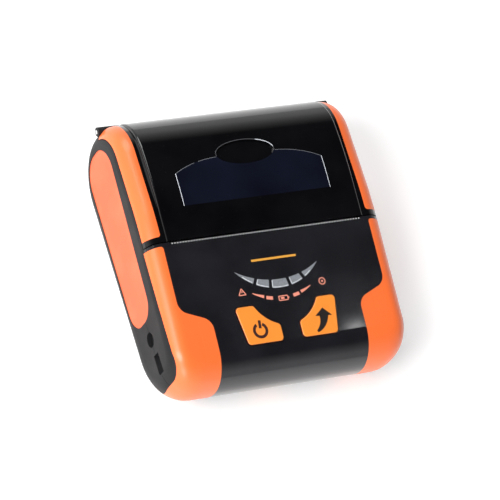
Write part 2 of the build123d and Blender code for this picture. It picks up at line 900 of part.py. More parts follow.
def head_springs():
    """Two coils between the frame floor and the heatsink."""
    height = heatsink_bottom - frame_floor_top - 2 * head_spring_wire - 0.2
    pitch = height / head_spring_turns
    path = Helix(pitch, height, head_spring_radius)
    start = path @ 0
    section = Plane(origin=start, z_dir=path % 0) * RegularPolygon(head_spring_wire, 6)
    coil = sweep(section, path, is_frenet=True)
    coil = Pos(head_spring_x, platen_y, frame_floor_top + head_spring_wire + 0.1) * coil
    return Compound(children=[coil, Pos(-2 * head_spring_x, 0, 0) * coil])


def tear_bar():
    """A steel strip with a saw edge."""
    top = tear_height + tear_proud
    count = int(2 * tear_bar_half_width / tear_tooth_pitch)
    pitch = 2 * tear_bar_half_width / count
    points = [(-tear_bar_half_width, tear_bar_foot), (tear_bar_half_width, tear_bar_foot)]
    for i in range(count):
        x = tear_bar_half_width - i * pitch
        points += [(x, top - tear_tooth_height), (x - pitch / 2, top)]
    points.append((-tear_bar_half_width, top - tear_tooth_height))
    y = tear_line - 0.6
    plane = Plane(origin=(0, y + tear_bar_thickness, 0), x_dir=(1, 0, 0), z_dir=(0, -1, 0))
    return extrude(plane * Polygon(*points, align=None), tear_bar_thickness)


def mech_screws():
    z = frame_floor_top
    one = post(mech_screw_x, mech_screw_y, z, z + small_screw_head_height, small_screw_head)
    shank = post(mech_screw_x, mech_screw_y, battery_ceiling - mech_screw_depth, z, small_screw_radius)
    return pair(one + shank)


# Paper bay

def paper_bay():
    """A round trough with two cheeks and an ear on each side for the case screws."""
    outer = bay_radius + bay_wall
    rim = bay_z
    trough = Pos(bay_y - bay_fit, bay_z + bay_fit) * (Circle(outer) - Circle(bay_radius))
    lower = trough & (Pos(bay_y, bay_z - 50) * Rectangle(100, 100))
    walls = Pos(bay_y - bay_fit + bay_radius + bay_wall / 2, (rim + bay_lip_height) / 2)
    walls = walls * Rectangle(bay_wall, bay_lip_height - rim + 0.4)
    lip = Pos(bay_y - bay_fit - bay_radius - bay_wall / 2, rim + 2) * Rectangle(bay_wall, 4.4)
    body = from_side(lower + walls + lip, -bay_half - bay_wall, bay_half + bay_wall)
    cheek_outline = (Pos(bay_y - bay_fit, bay_z + bay_fit) * Circle(outer))
    cheek_outline = cheek_outline & (Pos(bay_y, bay_cheek_height - 50) * Rectangle(100, 100))
    cheek = from_side(cheek_outline, bay_half, bay_half + bay_wall)
    ear = block(bay_half + bay_wall / 2, case_screw_x + bay_ear_width, case_screw_rear - bay_ear_width,
                case_screw_rear + bay_ear_width, case_boss_top, case_boss_top + bay_ear_thickness)
    ear -= post(case_screw_x, case_screw_rear, 0, far, case_screw_radius)
    return body + pair(cheek + ear)


# Electronics

def main_board():
    board = block(-board_half_width, board_half_width, board_front, board_rear, board_bottom, board_top)
    board -= block(-far, -half + wall + jack_depth + seam, jack_y - jack_half - seam,
                   jack_y + jack_half + seam, board_bottom - 1, board_top + 1)
    board = board & case_form(wall + 0.3)
    for x in (board_screw_x, -board_screw_x):
        for y in (board_screw_front, board_screw_rear):
            board -= post(x, y, 0, far, small_screw_radius)
    return board


def board_chips():
    """Processor, memory, radio module and coil on the main board: place, width, depth, height."""
    processor = (-8, 15, 10, 10, 1.4)
    memory = (-18, 17, 7, 9, 1.2)
    radio = (12, 11, 13, 16, 2.2)
    coil = (-18, 7, 6, 6, 3.2)
    regulator = (4, 22, 6, 4, 1.6)
    chips = []
    for x, y, w, d, h in (processor, memory, radio, coil, regulator):
        y0 = board_front + y - d / 2
        chips.append(block(x - w / 2, x + w / 2, y0, y0 + d, board_top, board_top + h))
    return Compound(children=chips)


def board_screws():
    screws = []
    for x in (board_screw_x, -board_screw_x):
        for y in (board_screw_front, board_screw_rear):
            head = post(x, y, board_top, board_top + small_screw_head_height, small_screw_head)
            screws.append(head + post(x, y, board_bottom, board_top, small_screw_radius))
    return Compound(children=screws)


def dc_jack():
    x0 = -half + wall
    body = block(x0, x0 + jack_depth, jack_y - jack_half, jack_y + jack_half, jack_z - jack_low,
                 jack_z + jack_high)
    body -= rod(x0 - 1, x0 + jack_depth - 2, jack_y, jack_z, jack_bore)
    return body + rod(x0 + 1.2, x0 + jack_depth - 1, jack_y, jack_z, jack_pin)


def usb_socket():
    x0 = -half + wall + 0.1
    w, h = usb_width / 2, usb_height / 2
    outer = rounded([
        (usb_y - w + 1, usb_z - h, 0.3),
        (usb_y + w - 1, usb_z - h, 0.3),
        (usb_y + w, usb_z - h + 1.4, 0.5),
        (usb_y + w, usb_z + h, 0.5),
        (usb_y - w, usb_z + h, 0.5),
        (usb_y - w, usb_z - h + 1.4, 0.5),
    ])
    shell = from_side(outer, x0, x0 + usb_depth)
    shell -= from_side(offset(outer, -usb_metal), x0 - 1, x0 + usb_depth - 1.5)
    tongue = block(x0 + 1.5, x0 + usb_depth, usb_y - 2.3, usb_y + 2.3, usb_z - 0.7, usb_z + 0.7)
    foot = block(x0 + 1.5, x0 + usb_depth, usb_y - 3.2, usb_y + 3.2, board_top, usb_z - h + 0.2)
    foot = foot - from_side(offset(outer, -usb_metal), x0 - 1, x0 + usb_depth - 1.5)
    return shell + tongue + foot


def key_board():
    """The slanting board under the panel, on two posts of the main board."""
    face = Pos(0, (key_board_front + key_board_rear) / 2)
    face = face * Rectangle(2 * key_board_half_width, key_board_rear - key_board_front)
    return in_panel(face, key_board_depth + key_board_thickness, -key_board_depth)


def key_board_posts():
    """Four spacers between the two boards."""
    spacers = []
    for x in (key_board_half_width - key_post_inset, key_post_inset - key_board_half_width):
        for y in (board_front + key_post_inset + 0.5, board_rear - key_post_inset - 0.5):
            bar = post(x, y, board_top, far, key_post_radius)
            below = in_panel(Rectangle(far, far), far, -key_board_depth - key_board_thickness)
            spacers.append(bar & below)
    return Compound(children=spacers)


def tact_switches():
    """A switch body under each key, with a bore for its plunger."""
    bodies = []
    for side in (-1, 1):
        place = Pos(side * key_centre_x, key_centre)
        body = place * Rectangle(2 * switch_half, 2 * switch_half) - place * Circle(plunger_radius + 0.15)
        bodies.append(in_panel(body, key_board_depth, switch_height - key_board_depth))
    return Compound(children=bodies)


def key_plunger(side):
    face = Pos(side * key_centre_x, key_centre) * Circle(plunger_radius)
    return in_panel(face, plunger_foot, switch_height - plunger_foot)


def key_cap(side):
    """A key: crowned cap, hidden flange and stem."""
    shoulder_depth = fascia_wall + seam
    cap = in_panel(key_outline(), shoulder_depth, key_rise)
    top = cap.faces().sort_by(Axis.Z)[-1]
    cap = fillet(top.edges(), 0.45)
    flange = in_panel(key_outline(key_flange), shoulder_depth + key_flange_thickness, -shoulder_depth)
    stem_face = Pos(key_centre_x, key_centre) * Circle(key_stem_radius)
    stem = in_panel(stem_face, plunger_foot - switch_height, -shoulder_depth)
    key = cap + flange + stem
    return key if side > 0 else mirrored(key)


def indicator_lenses():
    return in_panel(lens_faces(), lens_depth, lens_proud)


def indicator_lamps():
    """A small lamp on the key board under each lens."""
    lamps = []
    centre_s = lens_low + lens_low_radius
    for angle in (-34, -19, 0, 19, 34):
        x = (lens_low_radius - 1.8) * sin(radians(angle))
        s = centre_s - (lens_low_radius - 1.8) * cos(radians(angle))
        lamps.append(in_panel(Pos(x, s) * Rectangle(2.0, 1.25), key_board_depth, 0.8 - key_board_depth))
    return Compound(children=lamps)


# Battery

def battery_pack():
    """The pack, whose underside is part of the case's underside."""
    pack = block(-battery_half_width, battery_half_width, battery_front, battery_rear, 0, battery_top)
    pack = pack & case_form(battery_foot)
    return fillet(pack.edges().filter_by(Axis.Z), battery_corner)


def contact_strips(grow=0.0):
    """Three contacts through the rear wall of the battery bay."""
    strips = []
    for x in (-contact_pitch, 0, contact_pitch):
        strips.append(block(x - contact_half - grow, x + contact_half + grow, battery_rear + 0.1,
                            battery_rear + battery_play + battery_bay_wall + 0.5,
                            contact_low - grow, contact_high + grow))
    return Compound(children=strips)


def battery_latch():
    """The catch in the nose that frees the battery."""
    return latch_bar(battery_bay_front - latch_travel - latch_play) & case_form(latch_sink)


# Fasteners and the hinge pin

def case_screws():
    z = case_screw_seat
    screws = []
    for x in (case_screw_x, -case_screw_x):
        for y in (case_screw_front, case_screw_rear):
            head = post(x, y, z - case_screw_head_height, z, case_screw_head)
            head -= block(x - 0.4, x + 0.4, y - 1.5, y + 1.5, z - 2, z - 0.9)
            head -= block(x - 1.5, x + 1.5, y - 0.4, y + 0.4, z - 2, z - 0.9)
            rear_length = case_boss_top + bay_ear_thickness + 1.0 - z
            length_up = case_screw_length if y == case_screw_front else rear_length
            screws.append(head + post(x, y, z, z + length_up, case_screw_radius))
    return Compound(children=screws)


def hinge_pin():
    end = end_knuckle_outer + pin_overhang
    return rod(-end, end, hinge_y, hinge_z, hinge_pin_radius)


def build():
    skin = base_skin()
    corner = bumper()
    band = cover_band()
    oval = grip()
    return {
        "case_lower": case_lower(skin),
        "case_upper": case_upper(skin),
        "control_fascia": control_fascia(),
        "bumper_right": corner,
        "bumper_left": mirrored(corner),
        "side_grip_right": oval,
        "side_grip_left": mirrored(oval),
        "indicator_lenses": indicator_lenses(),
        "indicator_lamps": indicator_lamps(),
        "tear_bar": tear_bar(),
        "mech_frame": mech_frame(),
        "mech_screws": mech_screws(),
        "head_pivot": head_pivot(),
        "head_springs": head_springs(),
        "stepper_motor": stepper_motor(),
        "idler_pin": idler_pin(),
        "paper_bay": paper_bay(),
        "main_board": main_board(),
        "board_chips": board_chips(),
        "board_screws": board_screws(),
        "key_board": key_board(),
        "key_board_posts": key_board_posts(),
        "tact_switches": tact_switches(),
        "dc_jack": dc_jack(),
        "usb_socket": usb_socket(),
        "battery_contacts": contact_strips(),
        "case_screws": case_screws(),
        "hinge_pin": hinge_pin(),
        "cover_shell": cover_shell(),
        "cover_band_right": band,
        "cover_band_left": mirrored(band),
        "cover_window": cover_window(),
        "platen_carrier": platen_carrier(),
        "platen_bushings": platen_bushings(),
        "carrier_screws": carrier_screws(),
        "platen_rubber": platen_rubber(),
        "platen_shaft": platen_shaft(),
        "platen_gear": platen_gear(),
        "idler_gear": idler_gear(),
        "motor_pinion": motor_pinion(),
        "motor_shaft": motor_shaft(),
        "head_heatsink": head_heatsink(),
        "head_ceramic": head_ceramic(),
        "power_key": key_cap(-1),
        "power_plunger": key_plunger(-1),
        "feed_key": key_cap(1),
        "feed_plunger": key_plunger(1),
        "battery_pack": battery_pack(),
        "battery_latch": battery_latch(),
    }


os.makedirs("parts", exist_ok=True)
for node, shape in build().items():
    export_step(shape, "parts/" + node + ".step")
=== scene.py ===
import bmesh
import bpy
import json
import math
from math import cos, pi, radians, sin
from mathutils import Matrix, Vector
from mathutils.bvhtree import BVHTree


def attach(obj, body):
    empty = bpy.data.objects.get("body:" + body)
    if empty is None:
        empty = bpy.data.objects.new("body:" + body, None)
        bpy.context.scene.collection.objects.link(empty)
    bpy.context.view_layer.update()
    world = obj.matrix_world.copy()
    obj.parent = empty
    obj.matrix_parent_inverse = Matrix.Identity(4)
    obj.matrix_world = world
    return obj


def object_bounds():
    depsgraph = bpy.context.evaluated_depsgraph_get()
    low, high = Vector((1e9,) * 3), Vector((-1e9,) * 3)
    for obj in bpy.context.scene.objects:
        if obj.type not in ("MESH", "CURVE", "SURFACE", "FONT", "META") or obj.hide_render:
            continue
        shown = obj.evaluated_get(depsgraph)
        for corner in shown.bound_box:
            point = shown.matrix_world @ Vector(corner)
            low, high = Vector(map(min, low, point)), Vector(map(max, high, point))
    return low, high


# The looks of a portable receipt printer: its finishes, printed signs and thin bright edges.
# Metres throughout, in the same frame as the solids.

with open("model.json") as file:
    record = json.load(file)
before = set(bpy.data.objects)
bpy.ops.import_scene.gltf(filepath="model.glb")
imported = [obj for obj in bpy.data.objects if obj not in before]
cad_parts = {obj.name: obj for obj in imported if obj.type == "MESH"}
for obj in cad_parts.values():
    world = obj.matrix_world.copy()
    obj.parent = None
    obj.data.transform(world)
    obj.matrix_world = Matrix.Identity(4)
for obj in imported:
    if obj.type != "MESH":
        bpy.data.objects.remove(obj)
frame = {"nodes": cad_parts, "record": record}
cad_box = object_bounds()
nodes = frame["nodes"]
mm = 0.001

# The sloping panel, which falls from the tear line towards the nose
tear_line_y = -1.075 * mm
tear_line_z = 45.66 * mm
panel_grade = 0.1348
panel_slope = math.atan(panel_grade)
panel_up = Vector((0, -sin(panel_slope), cos(panel_slope)))
key_rise = 0.6 * mm
tooth_pitch = 1.24 * mm
stroke_layer_thickness = 0.03 * mm

# The crescent of lamp lenses; each span is in degrees from straight down, about the low arc's centre
lens_low_centre = (0, -0.25 * mm)
lens_low_radius = 24.4 * mm
lens_high_radius = 36.2 * mm
lens_high_centre = 15.15 * mm
lens_spans = ((-42, -30.5), (-25.5, -13), (-8.6, 8.2), (12.8, 25.2), (30.2, 38))

# The window and the thumb scoop in the cover
window_half_width = 33.5 * mm
window_front = tear_line_y + 14.4 * mm
window_side = tear_line_y + 28.35 * mm
window_crown = Vector((24.0 * mm, tear_line_y + 32.05 * mm))
window_neck = Vector((13.5 * mm, tear_line_y + 33.55 * mm))
scoop_y = tear_line_y + 34.55 * mm
scoop_half_width = 13.2 * mm
scoop_half_length = 5.4 * mm

# The photograph's view: far off, high over the left front corner and rolled
camera_azimuth = radians(-53.026)
camera_elevation = radians(56.561)
camera_roll = radians(40.091)
camera_distance = 1.4602
aim_right = 9.53 * mm
aim_up = 11.09 * mm
focal_pixels = 3492
picture_pixels = 500
sensor_width = 36.0


# Shader nodes written as expressions

class Wire:
    """The output of a shader node; arithmetic on it adds Math nodes."""

    def __init__(self, shader, socket):
        self.shader = shader
        self.socket = socket

    def math(self, operation, first, second):
        return self.shader.node("Math", {"operation": operation}, {0: first, 1: second})

    def __add__(self, other):
        return self.math("ADD", self, other)

    __radd__ = __add__

    def __mul__(self, other):
        return self.math("MULTIPLY", self, other)

    __rmul__ = __mul__

    def __sub__(self, other):
        return self.math("SUBTRACT", self, other)

    def __rsub__(self, other):
        return self.math("SUBTRACT", other, self)


class Shader:
    """A tree of shader nodes under construction."""

    def __init__(self, tree):
        self.tree = tree

    def node(self, kind, settings=None, sockets=None, output=0):
        """Adds a node, makes its settings, then feeds its sockets with values or wires."""
        node = self.tree.nodes.new("ShaderNode" + kind)
        for name, value in (settings or {}).items():
            setattr(node, name, value)
        for key, value in (sockets or {}).items():
            self.feed(node.inputs[key], value)
        return Wire(self, node.outputs[output])

    def feed(self, socket, value):
        if isinstance(value, Wire):
            self.tree.links.new(value.socket, socket)
        elif hasattr(value, "__len__") and len(value) == 3 and socket.type == "RGBA":
            socket.default_value = (*value, 1.0)
        else:
            socket.default_value = value


class Finish(Shader):
    """A node material for one real finish."""

    def __init__(self, name):
        self.material = bpy.data.materials.new(name)
        self.material.use_nodes = True
        super().__init__(self.material.node_tree)
        self.surface = self.tree.nodes["Principled BSDF"]
        self.place = self.node("TexCoord", output="Object")

    def set(self, **sockets):
        """Sets sockets of the surface shader; an underscore stands for a space."""
        for key, value in sockets.items():
            self.feed(self.surface.inputs[key.replace("_", " ")], value)

    def noise(self, size, detail=2.0, roughness=0.5, stretch=None):
        """Noise from 0 to 1 whose grains are about one size across, in metres."""
        place = self.place
        if stretch:
            place = self.node("VectorMath", {"operation": "MULTIPLY"}, {0: place, 1: stretch})
        return self.node("TexNoise", None, {"Vector": place, "Scale": 1 / size, "Detail": detail,
                                            "Roughness": roughness})

    def cells(self, size):
        """Distance to the nearest of scattered points about one size apart."""
        return self.node("TexVoronoi", None, {"Vector": self.place, "Scale": 1 / size})

    def ramp(self, value, low, high):
        """Zero at low, one at high and even in between; low may be the larger one."""
        return self.node("MapRange", None, {"Value": value, "From Min": low, "From Max": high})

    def blend(self, factor, first, second):
        """A colour between two, by a factor."""
        return self.node("Mix", {"data_type": "RGBA"}, {"Factor": factor, 6: first, 7: second}, output=2)

    def relief(self, height, depth, strength):
        """Feeds the surface's normal from a height map of a depth in metres, and gives the material."""
        bump = self.node("Bump", None, {"Height": height, "Distance": depth, "Strength": strength})
        self.set(Normal=bump)
        return self.material


def tinted(colour, factor, lift=0.0):
    """A colour made lighter or darker."""
    return tuple(min(1.0, channel * factor + lift) for channel in colour)


def polished(name, colour, roughness=0.1, dust=0.1):
    """Polished dark plastic with faint haze and specks of dust."""
    finish = Finish(name)
    haze = finish.ramp(finish.noise(18 * mm, 3.0), 0.35, 0.7)
    specks = finish.ramp(finish.cells(1.7 * mm), 0.05, 0.03)
    hazy = finish.blend(haze, colour, tinted(colour, 1.5, 0.001))
    finish.set(Base_Color=finish.blend(specks * dust, hazy, (0.3, 0.3, 0.3)),
               Roughness=haze * 0.04 + roughness + specks * 0.2,
               Coat_Weight=0.4, Coat_Roughness=0.05, IOR=1.48)
    return finish.relief(finish.noise(9 * mm, 2.0), 0.03 * mm, 0.12)


def grained(name, colour, grain=0.35 * mm, depth=0.05 * mm, roughness=0.55, specular=0.5):
    """Moulded plastic with the fine grain of a spark-eroded tool, lighter where hands wear it."""
    finish = Finish(name)
    pits = finish.cells(grain)
    fine = finish.noise(grain * 0.6, 3.0, 0.6)
    wear = finish.ramp(finish.noise(14 * mm, 4.0), 0.4, 0.75)
    finish.set(Base_Color=finish.blend(wear, colour, tinted(colour, 1.18, 0.004)),
               Roughness=roughness - wear * 0.06 + fine * 0.08, Specular_IOR_Level=specular)
    return finish.relief(pits * 0.6 + fine, depth, 0.6)


def satin(name, colour, roughness=0.32, coat=0.15, painted_flank_shade=None):
    """Smooth coloured plastic with a hardly visible flow pattern, and painted shade on the flanks where a
    shade colour is given.
    """
    finish = Finish(name)
    flow = finish.noise(22 * mm, 3.0)
    tone = finish.blend(flow, tinted(colour, 0.9), colour)
    if painted_flank_shade:
        # Painted shade: surfaces that turn away from the panel's up are blended towards the shade colour.
        facing = finish.node("TexCoord", output="Normal")
        upward = finish.node("VectorMath", {"operation": "DOT_PRODUCT"}, {0: facing, 1: panel_up},
                             output="Value")
        tone = finish.blend(finish.ramp(upward, 0.35, 0.75), painted_flank_shade, tone)
    finish.set(Base_Color=tone, Roughness=finish.noise(2.5 * mm, 3.0) * 0.1 + roughness,
               Coat_Weight=coat, Coat_Roughness=0.15, IOR=1.5)
    return finish.relief(finish.noise(0.5 * mm, 2.0), 0.01 * mm, 0.3)


def metal(name, colour, roughness=0.28, brushed=(1.0, 30.0, 30.0)):
    """Steel, aluminium or brass with marks drawn out along one axis."""
    finish = Finish(name)
    marks = finish.noise(9 * mm, 4.0, 0.6, brushed)
    finish.set(Base_Color=finish.blend(marks, tinted(colour, 0.78), colour), Metallic=1.0,
               Roughness=marks * 0.14 + roughness)
    return finish.relief(marks, 0.01 * mm, 0.4)


def toothed(name, pitch):
    """Plated steel of a saw edge, bright on the tips of its teeth, with painted shade between them."""
    finish = Finish(name)
    across = finish.node("SeparateXYZ", None, {"Vector": finish.place}, output="X")
    from_gap = finish.node("Math", {"operation": "PINGPONG"}, {0: across, 1: pitch / 2})
    marks = finish.noise(2 * mm, 3.0, 0.6, (20.0, 1.0, 1.0))
    bright = finish.blend(marks, (0.7, 0.71, 0.72), (0.95, 0.95, 0.95))
    # Painted shade: near black between the teeth, plated steel on their tips.
    finish.set(Base_Color=finish.blend(finish.ramp(from_gap, 0.2 * pitch, 0.3 * pitch),
                                       (0.02, 0.02, 0.02), bright),
               Metallic=1.0, Roughness=marks * 0.1 + 0.25)
    return finish.relief(marks, 0.01 * mm, 0.3)


def smoked(name):
    """The smoked window, blue-black, slightly cloudy and only just see-through."""
    finish = Finish(name)
    cloud = finish.ramp(finish.noise(26 * mm, 2.0), 0.3, 0.7)
    finish.set(Base_Color=finish.blend(cloud, (0.003, 0.0035, 0.009), (0.006, 0.008, 0.018)),
               Roughness=cloud * 0.04 + 0.05, Alpha=0.9, Coat_Weight=0.5, Coat_Roughness=0.04)
    return finish.relief(finish.noise(14 * mm, 2.0), 0.02 * mm, 0.3)


def frosted(name, colour):
    """Frosted clear plastic of the lamp lenses, with a fine prism pattern."""
    finish = Finish(name)
    prisms = finish.cells(0.7 * mm)
    finish.set(Base_Color=finish.blend(prisms, tinted(colour, 1.6), colour), Roughness=prisms * 0.25 + 0.2)
    return finish.relief(prisms, 0.08 * mm, 0.8)


def board(name):
    """Green solder mask over copper tracks, with bare pads."""
    finish = Finish(name)
    tracks = finish.node("TexBrick", {"offset": 0.5}, {"Vector": finish.place, "Scale": 1 / (9 * mm),
                                                       "Mortar Size": 0.03}, output="Fac")
    pads = finish.ramp(finish.cells(2.4 * mm), 0.16, 0.14)
    green = finish.blend(tracks, (0.01, 0.09, 0.035), (0.03, 0.2, 0.07))
    finish.set(Base_Color=finish.blend(pads, green, (0.75, 0.7, 0.6)), Roughness=0.4 - pads * 0.1,
               Metallic=pads * 0.8)
    return finish.relief(tracks + pads, 0.03 * mm, 0.6)


def rubber(name, colour):
    """Ground rubber of the roller."""
    finish = Finish(name)
    rings = finish.noise(0.8 * mm, 3.0, 0.6, (6.0, 1.0, 1.0))
    finish.set(Base_Color=finish.blend(rings, colour, tinted(colour, 1.6)), Roughness=rings * 0.15 + 0.6)
    return finish.relief(rings, 0.02 * mm, 0.5)


finishes = {
    "case_black": grained("grained dark grey", (0.009, 0.009, 0.010), specular=0.22),
    "panel_black": polished("polished panel black", (0.008, 0.008, 0.010), 0.12),
    "cover_black": polished("polished cover black", (0.0015, 0.0015, 0.002), 0.08),
    "orange_gloss": satin("smooth orange", (0.9, 0.16, 0.034)),
    "orange_rubber": grained("soft orange grip", (0.7, 0.11, 0.034), 0.5 * mm, 0.05 * mm, 0.5),
    # The keys' flanks carry painted shade.
    "key_orange": satin("satin key orange", (0.88, 0.27, 0.034), 0.35, painted_flank_shade=(0.1, 0.012, 0.006)),
    "window_smoke": smoked("smoked window"),
    "lens_clear": frosted("frosted lens", (0.16, 0.17, 0.185)),
    # A lighter copy of the lens finish, for the painted highlights along the lens edges.
    "lens_highlight_finish": frosted("lens edge highlight", (0.5, 0.52, 0.55)),
    "steel": metal("bright steel", (0.78, 0.79, 0.8), 0.2),
    "sheet_steel": metal("plated sheet", (0.55, 0.56, 0.55), 0.32, (30.0, 1.0, 30.0)),
    "screw_steel": metal("blackened steel", (0.12, 0.12, 0.13), 0.35),
    "spring_steel": metal("spring wire", (0.5, 0.5, 0.5), 0.3),
    "platen_black": rubber("ground rubber", (0.018, 0.018, 0.02)),
    "gear_white": satin("natural gear plastic", (0.78, 0.75, 0.66), 0.4, 0.0),
    "brass": metal("turned brass", (0.8, 0.58, 0.25), 0.25, (30.0, 1.0, 1.0)),
    "bushing_grey": satin("filled nylon", (0.2, 0.2, 0.21), 0.45, 0.0),
    "motor_metal": metal("drawn can", (0.5, 0.5, 0.5), 0.35),
    "aluminium": metal("extruded aluminium", (0.7, 0.71, 0.72), 0.3, (1.0, 40.0, 40.0)),
    "ceramic": polished("glazed strip", (0.55, 0.53, 0.48), 0.15, 0.0),
    "board_green": board("circuit board"),
    "chip_black": grained("chip moulding", (0.02, 0.02, 0.02), 0.2 * mm, 0.02 * mm),
    "socket_black": grained("socket moulding", (0.012, 0.012, 0.013), 0.3 * mm, 0.02 * mm, 0.4),
    "socket_metal": metal("plated shell", (0.75, 0.75, 0.76), 0.18),
    "contact_gold": metal("plated contact", (0.9, 0.65, 0.25), 0.2),
    "lamp_white": frosted("lamp resin", (0.7, 0.68, 0.6)),
    "battery_grey": grained("battery grey", (0.018, 0.018, 0.02), specular=0.3),
    "latch_orange": satin("satin catch orange", (1.0, 0.3, 0.06), 0.38),
    "bay_black": grained("bay moulding", (0.014, 0.014, 0.015), 0.5 * mm, 0.03 * mm, 0.5),
    "print_brown": satin("brown print", (0.035, 0.008, 0.006), 0.5, 0.0),
    "print_black": satin("black print", (0.008, 0.005, 0.005), 0.5, 0.0),
    "print_salmon": satin("salmon print", (0.78, 0.27, 0.19), 0.5, 0.0),
    "print_amber": satin("amber print", (0.72, 0.33, 0.04), 0.5, 0.0),
    # Lighter copies of the polished black, for painted highlights and a painted grey reflection along the
    # window and scoop rims.
    "rim_highlight_finish": polished("pane edge painted highlight", (0.5, 0.52, 0.56), 0.15, 0.0),
    "rim_grey_reflection_finish": polished("pane rim painted grey reflection", (0.12, 0.125, 0.14), 0.2, 0.0),
    "rim_faint_highlight_finish": polished("scoop rim painted faint highlight", (0.05, 0.05, 0.055), 0.1, 0.0),
}
for part in frame["record"]["subparts"]:
    mesh = nodes[part["node"]].data
    mesh.materials.clear()
    mesh.materials.append(finishes[part["material_slot"]])
# The tear bar's saw edge, with painted shade between its teeth.
nodes["tear_bar"].data.materials[0] = toothed("saw edge with painted gap shade", tooth_pitch)


# Printed signs, and painted highlights along the lens edges, on the panel

def on_panel(x, along, lift):
    """A place on the sloping panel, measured along its slope from the tear line."""
    place = Vector((x, tear_line_y + along * cos(panel_slope), tear_line_z + along * sin(panel_slope)))
    return place + panel_up * lift


def arc(centre, radius, start, stop, steps):
    """Points on an arc; angles in degrees, anticlockwise from straight down."""
    turns = [radians(start + (stop - start) * i / steps) for i in range(steps + 1)]
    return [Vector((centre[0] + radius * sin(t), centre[1] - radius * cos(t))) for t in turns]


def straight(*places):
    """A line through places given in millimetres."""
    return [Vector((x * mm, along * mm)) for x, along in places]


def stroke(line, width, last_width=None):
    """A line with its width, which may change evenly to another one at the line's end."""
    return line, (width, last_width or width)


def closed(corners, width):
    """The strokes round a closed outline."""
    following = corners[1:] + corners[:1]
    return [stroke([here, there], width) for here, there in zip(corners, following)]


def sides_of(line, widths):
    """The two edges of a stroke."""
    left, right = [], []
    for i, point in enumerate(line):
        before, after = line[max(i - 1, 0)], line[min(i + 1, len(line) - 1)]
        across = Vector((before.y - after.y, after.x - before.x)).normalized()
        reach = (widths[0] + (widths[1] - widths[0]) * i / (len(line) - 1)) / 2
        left.append(point + across * reach)
        right.append(point - across * reach)
    return left, right


def add_piece(name, shape, body, finish):
    """Turns a bmesh into a piece that rides on a body."""
    bmesh.ops.remove_doubles(shape, verts=shape.verts, dist=0.001 * mm)
    bmesh.ops.recalc_face_normals(shape, faces=shape.faces)
    mesh = bpy.data.meshes.new(name)
    shape.to_mesh(mesh)
    shape.free()
    mesh.materials.append(finishes[finish])
    made = bpy.data.objects.new(name, mesh)
    bpy.context.collection.objects.link(made)
    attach(made, body)


def print_or_highlight_strokes(name, strokes, lift, body, finish):
    """Strokes laid on the panel or a key as a very thin raised layer, for print and for painted highlights.
    """
    stroke_layer = bmesh.new()
    for line, widths in strokes:
        rows = [[stroke_layer.verts.new(on_panel(p.x, p.y, lift)) for p in side] for side in sides_of(line, widths)]
        for i in range(len(line) - 1):
            stroke_layer.faces.new((rows[0][i], rows[0][i + 1], rows[1][i + 1], rows[1][i]))
    bmesh.ops.remove_doubles(stroke_layer, verts=stroke_layer.verts, dist=0.001 * mm)
    raised = bmesh.ops.extrude_face_region(stroke_layer, geom=stroke_layer.faces[:])["geom"]
    bmesh.ops.translate(stroke_layer, verts=[g for g in raised if isinstance(g, bmesh.types.BMVert)],
                        vec=panel_up * stroke_layer_thickness)
    add_piece(name, stroke_layer, body, finish)


def key_signs():
    """The signs on the two keys: a broken ring with a bar, and a bent arrow that widens to its head."""
    on_key = key_rise + stroke_layer_thickness
    ring_gap = 28
    ring = arc((-14.0 * mm, -41.2 * mm), 2.75 * mm, ring_gap - 180, 180 - ring_gap, 40)
    bar = straight((-13.6, -37.0), (-13.9, -40.3))
    print_or_highlight_strokes("power_sign", [stroke(ring, 1.2 * mm), stroke(bar, 1.2 * mm)], on_key,
            "power_button", "print_brown")
    shaft = arc((7.4 * mm, -37.8 * mm), 8.2 * mm, 27, 84, 16)
    head = straight((15.5, -38.9), (15.7, -35.6))
    print_or_highlight_strokes("feed_sign", [stroke(shaft, 1.0 * mm, 4.0 * mm), stroke(head, 7.6 * mm, 0.05 * mm)], on_key,
            "feed_button", "print_black")


def lamp_marks():
    """The curved line of bars under the lamps, with a small sign for each kind of lamp."""
    bars_radius = 28.7 * mm
    strokes = []
    for side in (-1, 1):
        inner = arc(lens_low_centre, bars_radius, side * 9.4, side * 15.2, 6)
        outer = arc(lens_low_centre, bars_radius - 0.2 * mm, side * 17.2, side * 27.8, 8)
        strokes += [stroke(inner, 1.4 * mm), stroke(outer, 1.3 * mm, 0.3 * mm)]
    thin = 0.42 * mm
    triangle = straight((-17.7, -22.9), (-19.3, -25.6), (-16.1, -25.6))
    strokes += closed(triangle, thin)
    strokes.append(stroke(straight((-17.7, -23.9), (-17.7, -24.7)), thin))
    ring = arc((19.0 * mm, -24.4 * mm), 1.35 * mm, 0, 360, 32)
    ring_dot = straight((19.0, -24.0), (19.0, -24.8))
    strokes += [stroke(ring, thin), stroke(ring_dot, 0.8 * mm)]
    cell = straight((-2.0, -28.2), (2.0, -28.2), (2.0, -30.0), (-2.0, -30.0))
    cell_tip = straight((2.4, -28.8), (2.4, -29.4))
    cell_charge = straight((-1.2, -29.1), (0.4, -29.1))
    strokes += closed(cell, thin)
    strokes += [stroke(cell_tip, 0.5 * mm), stroke(cell_charge, 0.9 * mm)]
    print_or_highlight_strokes("lamp_marks", strokes, 0.0, "base", "print_salmon")


def panel_bar():
    """A plain bar across the upper part of the panel."""
    bar = straight((-10.2, -12.0), (10.2, -12.0))
    print_or_highlight_strokes("panel_bar", [stroke(bar, 0.9 * mm)], 0.0, "base", "print_amber")


